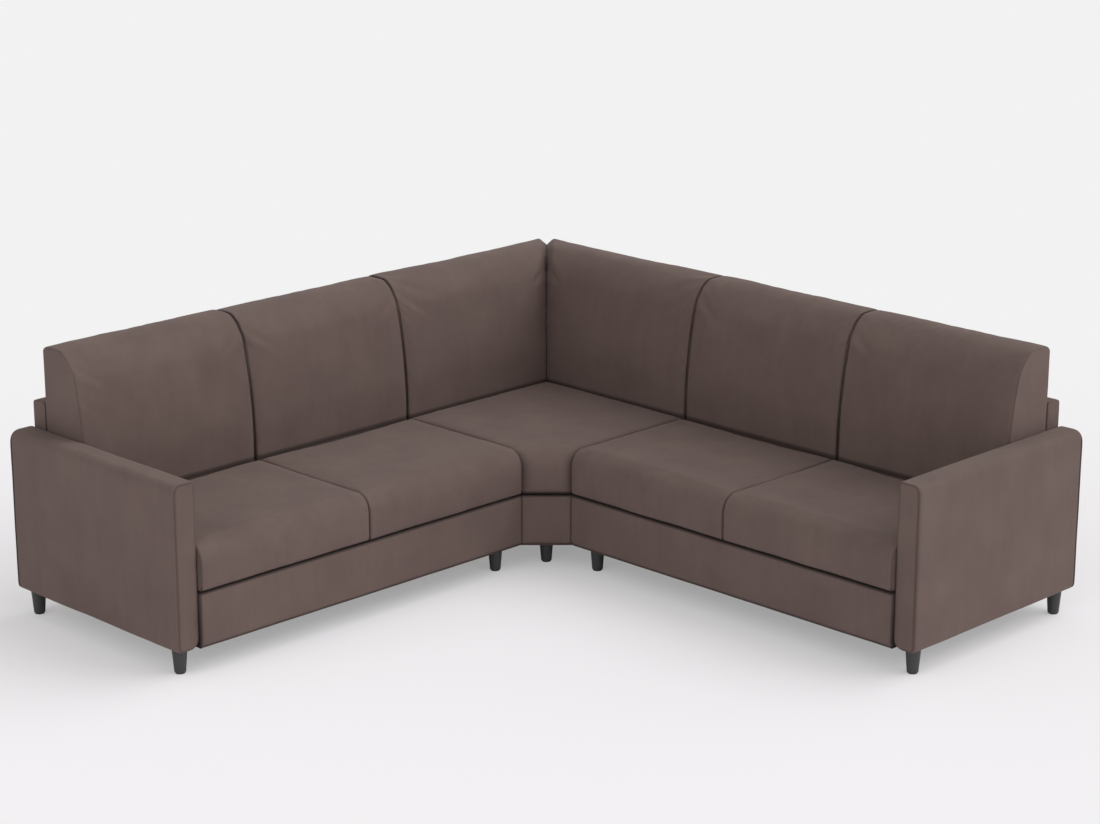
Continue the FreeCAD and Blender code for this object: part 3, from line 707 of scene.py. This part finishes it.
# %% Filling and placing the seat cushions
seat_stretches = {"inner": (corner_width + gap, seat_split - gap),
                  "outer": (seat_split + gap, arm_inner - gap)}
for seed, (where, (start, end)) in enumerate(seat_stretches.items(), 21):
    right = seat_cover("seat_cushion_right_" + where, start, end)
    fill(right)
    left = left_twin(right, "seat_cushion_left_" + where)
    rests = [((1, 0, 0), end), ((-1, 0, 0), -start), ((0, -1, 0), -seat_rear),
             ((0, 0, -1), -cushion_base)]
    for side, piece, number in (("right", right, seed), ("left", left, seed + 10)):
        settle(piece, number)
        pull_seams(piece, 0.0025, 0.4, side, seat_seam_shade)
        press(piece, side, rests)
        name = side + "_" + where
        finish_cover(piece, "seat_cushion_" + name, ["seat_cover_" + name, "seat_foam_" + name])

# %% [markdown]
# The corner seat is a square cushion whose front corner is cut off, so its top grid is square
# with the cells beyond the cut left out. Near the cut the points slide in and down over the same
# 50 mm roll as on the other seats.

# %% Corner seat outline
corner_low = seat_rear
corner_high = corner_width - gap
hair = 0.01                 # mm, so that points on the cut count as on it
cut_cells = 9
cut_leg = 2.0 * corner_high - cut_line
cut_pitch = cut_leg / cut_cells
far_cells = round((corner_high - cut_leg - corner_low) / 12.0)
plan_marks = np.concatenate([np.linspace(corner_low, corner_high - cut_leg, far_cells + 1)[:-1],
                             np.linspace(corner_high - cut_leg, corner_high, cut_cells + 1)])
knee_height = seat_edge - roll
wall_climb = knee_height - cushion_base


def rolled(inward):
    """Where a plan point ends up that lies inward of the cut: its new inward place and its height."""
    turn = np.radians(45.0 + 45.0 * np.clip(inward / roll, 0.0, 1.0))
    slid = np.where(inward < roll, roll * (1.0 - np.cos(turn)), inward)
    return slid, knee_height + roll * np.sin(turn)


def slide(along, deep, new_inward):
    """Moves a plan point to another distance from the cut, at the same share of the cut's width."""
    inward = (cut_line - along - deep) / math.sqrt(2.0)
    old_half = cut_leg / math.sqrt(2.0) + inward
    share = (along - deep) / math.sqrt(2.0) / np.maximum(old_half, 1e-6)
    new_half = cut_leg / math.sqrt(2.0) + new_inward
    total = cut_line - new_inward * math.sqrt(2.0)
    spread = share * new_half * math.sqrt(2.0)
    return (total + spread) / 2.0, (total - spread) / 2.0


print("the corner seat's cut takes off", round(cut_leg), "mm of each side")

# %% Corner seat cushion
def corner_top():
    """Grid of the top panel, rolled down over the cut front."""
    along, deep = np.meshgrid(plan_marks, plan_marks)
    inward = (cut_line - along - deep) / math.sqrt(2.0)
    slid, high = rolled(inward)
    new_along, new_deep = slide(along, deep, slid)
    near = (inward < roll) & (inward > -hair)
    along = np.where(near, new_along, along)
    deep = np.where(near, new_deep, deep)
    grid = np.stack([along, deep, high], axis=-1)
    grid[inward < -hair] = np.nan
    return grid


def corner_bottom():
    """Grid of the bottom panel, flat and cut like the top one."""
    along, deep = np.meshgrid(plan_marks, plan_marks)
    grid = np.stack([along, deep, np.full_like(along, cushion_base)], axis=-1)
    grid[along + deep > cut_line + hair] = np.nan
    return grid


def corner_wall(plan):
    """Wall over a run of plan points, from the bottom to the edge of the top panel."""
    plan = np.array(plan)
    rows = []
    steps = [(0.0, climb) for climb in np.linspace(0.0, wall_climb, 9)]
    steps += [(roll * (1.0 - math.cos(math.radians(t))), wall_climb + roll * math.sin(math.radians(t)))
              for t in (15.0, 30.0, 45.0)]
    inward = (cut_line - plan[:, 0] - plan[:, 1]) / math.sqrt(2.0)
    slid, edge = rolled(inward)
    for shift, climb in steps:
        share = shift / steps[-1][0]
        new_inward = inward + (slid - inward) * share
        along, deep = slide(plan[:, 0], plan[:, 1], new_inward)
        near = inward < roll
        along = np.where(near, along, plan[:, 0])
        deep = np.where(near, deep, plan[:, 1])
        high = cushion_base + (edge - cushion_base) * climb / steps[-1][1]
        rows.append(np.stack([along, deep, high], axis=-1))
    return np.array(rows)


side_marks = plan_marks[plan_marks < cut_line - corner_high + hair]
cut_run = [(corner_high - k * cut_pitch, corner_high - cut_leg + k * cut_pitch)
           for k in range(cut_cells + 1)]
corner_panels = [
    (0, corner_top()),
    (0, corner_wall(cut_run)),
    (1, corner_wall([(corner_high, m) for m in side_marks])),
    (2, corner_wall([(m, corner_high) for m in side_marks])),
    (3, corner_wall([(corner_low, m) for m in plan_marks])),
    (3, corner_wall([(m, corner_low) for m in plan_marks])),
    (4, corner_bottom()),
]
corner_seat = sew("seat_cushion_corner", corner_panels)
fill(corner_seat)
settle(corner_seat, 41)
pull_seams(corner_seat, 0.0025, 0.4, "right", seat_seam_shade)
corner_rests = [((1, 0, 0), corner_high), ((0, 1, 0), corner_high), ((-1, 0, 0), -corner_low),
                ((0, -1, 0), -corner_low), ((0, 0, -1), -cushion_base)]
press(corner_seat, "right", corner_rests)
finish_cover(corner_seat, "seat_cushion_corner", ["seat_cover_corner", "seat_foam_corner"])

# %% [markdown]
# ## Arms, low backs and front bands
# These are cloth and wadding stapled over timber, so they are tight and nearly flat, and need no
# filling. The arm is a sleeve with a facing sewn into its front, soft on its outer top edge and
# sharper inside. The sleeve turns round the front edge before it meets the facing's seam, and its
# rear top corner is rounded as seen from the side.

# %% Arm outline
wing_length = 2380.0
arm_top = 608.0
arm_low = 80.0
arm_front = 826.0
arm_clearance = 1.2         # between the arm and the seat beside it
rear_round = 16.0           # of the sleeve's rear top corner, seen from the side
arm_wrap = 9.0              # the sleeve turns round the front edge by this much before its seam
outer_round = 28.0          # soft outer top edge
inner_round = 11.0          # sharper inner top edge
foot_round = 18.0           # outer bottom edge
toe_round = 14.0            # inner bottom edge,
toe_widening = 18.0         # which gets wider by this much
toe_from = 780.0            # from this depth
toe_over = 40.0             # over this length


def arm_sides(deep):
    """Inner, outer, bottom and top side of the arm's section, as (along, high) points."""
    from_rear = max(0.0, rear_round - deep)
    over = max(0.0, deep - (arm_front - arm_wrap))
    turned_in = arm_wrap - math.sqrt(arm_wrap ** 2 - over ** 2)
    top = arm_top - (rear_round - math.sqrt(rear_round ** 2 - from_rear ** 2)) - 0.35 * turned_in
    inner = arm_inner + arm_clearance + 0.2 * turned_in
    outer = wing_length - turned_in
    foot = arm_low + 0.4 * turned_in
    toe = toe_round + toe_widening * min(1.0, max(0.0, (deep - toe_from) / toe_over)) ** 2
    low_in = rounded((inner, foot + toe), (inner + toe, foot), toe, 6)
    low_out = rounded((outer - foot_round, foot), (outer, foot + foot_round), foot_round, 6)
    high_out = rounded((outer, top - outer_round), (outer - outer_round, top), outer_round, 8)
    high_in = rounded((inner + inner_round, top), (inner, top - inner_round), inner_round, 6)
    # each of the four sides ends in the middle of two edges' rounds
    inner_side = np.concatenate([low_in[:4][::-1], high_in[3:][::-1]])
    outer_side = np.concatenate([low_out[3:], high_out[:5]])
    bottom = np.concatenate([low_in[3:], low_out[:4]])
    top_side = np.concatenate([high_in[:4][::-1], high_out[4:][::-1]])
    return inner_side, outer_side, bottom, top_side


# %% Arms
rear_shade_line = 5.0         # middle of a thin line of painted shade on the sleeve, near its rear edge
# half the width of that painted line
shade_line_half = 3.6
rear_places = np.array([0.0, 2.0, rear_shade_line, 8.5, 13.0])
front_places = np.array([9.5, 6.0, 3.2, 1.2, 0.0])
arm_marks = np.concatenate([rear_places / arm_front, marks_for(arm_front, 14.0)[3:-4],
                            1.0 - front_places / arm_front])
arm_upright = marks_for(arm_top - arm_low, 14.0)
arm_across = marks_for(85.0, 9.0, edge=(4.0,))


def arm_section(mark):
    """The arm's four sides at that share of its depth."""
    inner, outer, bottom, top = arm_sides(mark * arm_front)
    return (spaced(inner, arm_upright), spaced(outer, arm_upright),
            spaced(bottom, arm_across), spaced(top, arm_across))


def arm_place(mark, points):
    """The section's points at that share of the arm's depth."""
    deep = np.full(len(points), mark * arm_front)
    return np.stack([points[:, 0], deep, points[:, 1]], axis=1)


def rear_seam_shade(points):
    """Painted shade in a thin line on the sleeve, a few millimetres in from the arm's rear edge."""
    return np.where(np.abs(points[:, 1] - rear_shade_line) < shade_line_half, 0.9, 0.0)


arm_panels = {"front": 0, "top": 0, "rear": 0, "bottom": 0, "start": 1, "end": 2}
right = sew("arm_right", drawn_out(arm_section, arm_marks, arm_place, arm_panels))
left = left_twin(right, "arm_left")
arm_rests = [((-1, 0, 0), -arm_inner)]
for side, piece, number in (("right", right, 51), ("left", left, 52)):
    pull_seams(piece, 0.0012, 0.5, side, None, rear_seam_shade)
    settle(piece, number, height=0.0007, size=0.2)
    press(piece, side, arm_rests)
    finish_cover(piece, "sofa_frame", ["arm_cover_" + side, "arm_facing_" + side])

# %% [markdown]
# The low back is an upholstered wall behind the back cushions. It shows above the arms at the two
# ends, and it is all of the sofa that one sees from behind, apart from the cushions' tops.

# %% Low backs
def low_back_sides(top=694.0, rear=12.0, front=77.0, foot=82.0, radius=12.0):
    """Rear, front, bottom and top of the low back's outline, as (deep, high) points."""
    rear_arc = rounded((rear + radius, top), (rear, top - radius), radius, 6)
    front_arc = rounded((front, top - radius), (front - radius, top), radius, 6)
    rear_side = np.concatenate([[(rear, foot)], rear_arc[3:][::-1]])
    front_side = np.concatenate([[(front, foot)], front_arc[:4]])
    top_side = np.concatenate([rear_arc[:4][::-1], front_arc[3:][::-1]])
    return rear_side, front_side, [(rear, foot), (front, foot)], top_side


low_back_upright = marks_for(612.0, 15.0)
low_back_across = marks_for(65.0, 8.0, edge=(4.0,))
low_back_section = [spaced(side, marks) for side, marks in zip(
    low_back_sides(), (low_back_upright, low_back_upright, low_back_across, low_back_across))]


def low_back_cover(name, start, end, mitred):
    """Sewn cover of one stretch of the low back."""
    def place(mark, points):
        skew = (1.0 - mark) if mitred else 0.0
        along = start + mark * (end - start) + skew * points[:, 0]
        return np.stack([along, points[:, 0], points[:, 1]], axis=1)

    panels = {"front": 0, "top": 0, "rear": 0, "bottom": 1, "start": 2, "end": 3}
    marks = marks_for(end - start, 15.0)
    return sew(name, drawn_out(lambda mark: low_back_section, marks, place, panels))


mitre_overlap = -0.6        # the two corner pieces lap by this much, so no light shows between
low_back_stop = 77.2        # just short of the back cushions
low_backs = {
    "": (corner_width + gap, arm_inner, False),
    "corner_": (mitre_overlap, corner_width - gap, True),
}
for seed, (where, (start, end, mitred)) in enumerate(low_backs.items(), 61):
    right = low_back_cover("low_back_" + where + "right", start, end, mitred)
    left = left_twin(right, "low_back_" + where + "left")
    rests = [((1, 0, 0), end), ((0, 1, 0), low_back_stop)]
    for side, piece, number in (("right", right, seed), ("left", left, seed + 4)):
        settle(piece, number, height=0.0007, size=0.2)
        pull_seams(piece, 0.0018, 0.35)
        press(piece, side, rests)
        finish_cover(piece, "sofa_frame", ["low_back_cover_" + where + side])

# %% [markdown]
# The front band is cloth over a padded rail, turned over the rail's top under the seat cushions,
# with a narrow hem set back along its foot. Seen from the end it is a thin strip, so its panels
# are drawn between an outer and an inner line. Beside an arm an end panel reaches back over the
# rail's end, which the arm's rounded foot leaves in sight.

# %% Front band outline
band_front = 840.0
band_top = 258.0
band_foot = 79.6
rail_top = 253.3            # the inner line lies on the rail
rail_front = 828.1
hem_front = 829.4
tuck_depth = 816.0          # the cloth ends here, under the seats
band_marks = marks_for(195.0, 8.0, edge=(2.5, 5.0, 8.0, 12.0))


def band_sides():
    """Inner line, outer line and the two short edges of the band's section."""
    hem = [(hem_front, band_foot), (hem_front, 87.4)]
    low_round = bowed((834.0, 87.6), (band_front, 93.6), 1.76, 5)
    high_round = bowed((band_front, band_top - 10.0), (band_front - 10.0, band_top), 2.93, 6)
    outer = np.concatenate([hem, low_round, high_round, [(tuck_depth, band_top)]])
    inner = [(rail_front, band_foot), (rail_front, rail_top), (tuck_depth, rail_top)]
    foot = spaced([inner[0], outer[0]], [0.0, 0.5, 1.0])
    lip = spaced([inner[-1], outer[-1]], [0.0, 0.5, 1.0])
    return spaced(inner, band_marks), spaced(outer, band_marks), foot, lip


band_section = band_sides()
band_panels = {"front": 0, "top": 1, "rear": 1, "bottom": 1, "start": 1, "end": 1}
print("the band's section:", len(band_marks), "points high")

# %% Front band places
band_start = 955.6
band_end = 2296.1           # over the rail's end, beside the arm
end_depth = 776.0           # how far back the end panel reaches there
end_foot = 77.5             # and how low
corner_shift = (corner_width + band_front) / math.sqrt(2.0) - band_front


def wing_band_place(mark, points):
    """Section points along a wing's band; the last ones form the panel over the rail's end."""
    along = np.full(len(points), band_start + mark * (band_end - band_start))
    if mark < 0.9999:
        return np.stack([along, points[:, 0], points[:, 1]], axis=1)
    on_rail = (points[:, 0] < rail_front + 0.4) & (points[:, 1] < rail_top - 0.3)
    deep = np.where(on_rail, end_depth, points[:, 0])
    high = np.where(points[:, 1] < band_foot + 1.4, end_foot, points[:, 1])
    return np.stack([along, deep, high], axis=1)


def corner_band_place(mark, points):
    """Section points along the corner's band, square to the sofa's diagonal."""
    reach = (points[:, 0] + corner_shift) / math.sqrt(2.0)
    half_width = math.sqrt(2.0) * (corner_high - reach)
    offset = (2.0 * mark - 1.0) * half_width / math.sqrt(2.0)
    return np.stack([reach + offset, reach - offset, points[:, 1]], axis=1)


# %% Front bands
dip_from = 251.0            # above this height the band dips under the seats
dip_over = 6.0
hem_top = 88.5
lit_from = 832.0            # deeper than this, the end panel stands clear of the arm


def band_shade(points):
    """Shade where the band dips under the seats, on its hem, and on its end beside the arm."""
    high = points[:, 2]
    dip = np.clip((high - dip_from) / dip_over, 0.0, 1.0)
    hem = np.where(high < hem_top, 0.5, 0.0)
    end_tone = np.where(points[:, 1] < lit_from, 1.0, 0.35)
    beside_arm = np.where(points[:, 0] > band_end - 0.5, end_tone, 0.0)
    return np.maximum(np.maximum(dip, hem), beside_arm)


wing_marks = marks_for(1338.0, 14.0)
corner_marks = marks_for(161.0, 11.0)
right = sew("front_band_right",
            drawn_out(lambda mark: band_section, wing_marks, wing_band_place, band_panels))
left = left_twin(right, "front_band_left")
corner = sew("front_band_corner",
             drawn_out(lambda mark: band_section, corner_marks, corner_band_place, band_panels))
for side, piece, number in (("right", right, 71), ("left", left, 72), ("corner", corner, 73)):
    settle(piece, number, height=0.0005, size=0.15)
    if side != "corner":
        points = to_wing(points_of(piece.data), side)
        points[:, 0] = np.where(points[:, 0] > band_end - 1.5, band_end, points[:, 0])
        set_points(piece.data, to_room(points, side))
    pull_seams(piece, 0.0, 0.35, side, None, band_shade)
    finish_cover(piece, "sofa_frame", ["base_band_" + side])

# %% [markdown]
# ## Finishes of the parts inside
# Timber, boards, straps, cloths, legs and bolts keep their solids. One function grows a grained
# finish from two tones: noise of the grain's real size, stretched along the grain, drives colour,
# roughness and bump. A moulded plastic has fine even grain, planed pine a long one.

# %% Grained finishes
def grained(name, dark, light, grain, rough, bump, stretch=(1.0, 1.0, 1.0), metallic=0.0):
    """Finish with noise of that grain in millimetres, drawn out by stretch along x, y and z."""
    material, tree, output = blank_material(name)
    place = add_node(tree, "ShaderNodeTexCoord")
    scale = tuple(1000.0 / grain / length for length in stretch)
    stretched = add_node(tree, "ShaderNodeMapping", None, {"Scale": scale},
                         {"Vector": place.outputs["Object"]})
    figure = add_node(tree, "ShaderNodeTexNoise", None, {"Scale": 1.0, "Detail": 5.0, "Roughness": 0.6},
                      {"Vector": stretched.outputs[0]})
    tones = add_node(tree, "ShaderNodeMapRange", None, {"From Min": 0.3, "From Max": 0.7},
                     {"Value": figure.outputs["Fac"]})
    colour = add_node(tree, "ShaderNodeMix", {"data_type": "RGBA"}, {"A": linear(dark), "B": linear(light)},
                      {"Factor": tones.outputs[0]})
    matt = add_node(tree, "ShaderNodeMapRange", None, {"To Min": rough - 0.08, "To Max": rough + 0.08},
                    {"Value": figure.outputs["Fac"]})
    raised = add_node(tree, "ShaderNodeBump", None, {"Strength": 0.5, "Distance": bump / 1000.0},
                      {"Height": figure.outputs["Fac"]})
    surface = add_node(tree, "ShaderNodeBsdfPrincipled", None, {"Metallic": metallic, "IOR": 1.5},
                       {"Base Color": colour.outputs["Result"], "Roughness": matt.outputs[0],
                        "Normal": raised.outputs[0]})
    tree.links.new(surface.outputs[0], output.inputs["Surface"])
    return material


finishes = {
    # planed pine: pale tan, long fine fibres along the sofa's rails, dull from the planer
    "timber": grained("planed_pine", "#B8905F", "#D2AE7C", 3.0, 0.62, 0.15, (12.0, 12.0, 2.0)),
    # pressed hardboard: brown felted wood fibre, a little shiny from the hot press
    "hardboard": grained("pressed_hardboard", "#76583A", "#977550", 1.6, 0.5, 0.05),
    # woven elastic webbing: black ribs across the strap, 2.5 mm apart
    "webbing": grained("elastic_webbing", "#1F1F21", "#3B3B3E", 2.5, 0.8, 0.4),
    # bonded deck cloth: dark felt under the loose seats
    "deck_cloth": grained("bonded_deck_felt", "#403A37", "#554D49", 2.0, 0.92, 0.3),
    # spunbond dust cloth: thin black fleece with a faint sheen
    "dust_cloth": grained("spunbond_dust_cloth", "#1E1E21", "#303034", 1.5, 0.75, 0.1),
    # moulded polypropylene: dark grey, spark-eroded mould grain of about 1 mm, satin
    "leg_plastic": grained("moulded_polypropylene", "#2F2F30", "#3E3E3F", 1.0, 0.48, 0.06),
    # hard glide: black nylon, scuffed by floors
    "glide_plastic": grained("black_nylon", "#19191B", "#2A2A2C", 1.5, 0.42, 0.03),
    # zinc-plated steel: bluish grey, blurred by the plating's fine crystals
    "zinc_steel": grained("zinc_plated_steel", "#A9ADB3", "#C6C9CE", 2.0, 0.36, 0.02, metallic=1.0),
}
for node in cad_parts.values():
    for place in node.material_slots:
        if place.material and place.material.name in finishes:
            place.material = finishes[place.material.name]
print(len(finishes), "finishes on the kept solids")
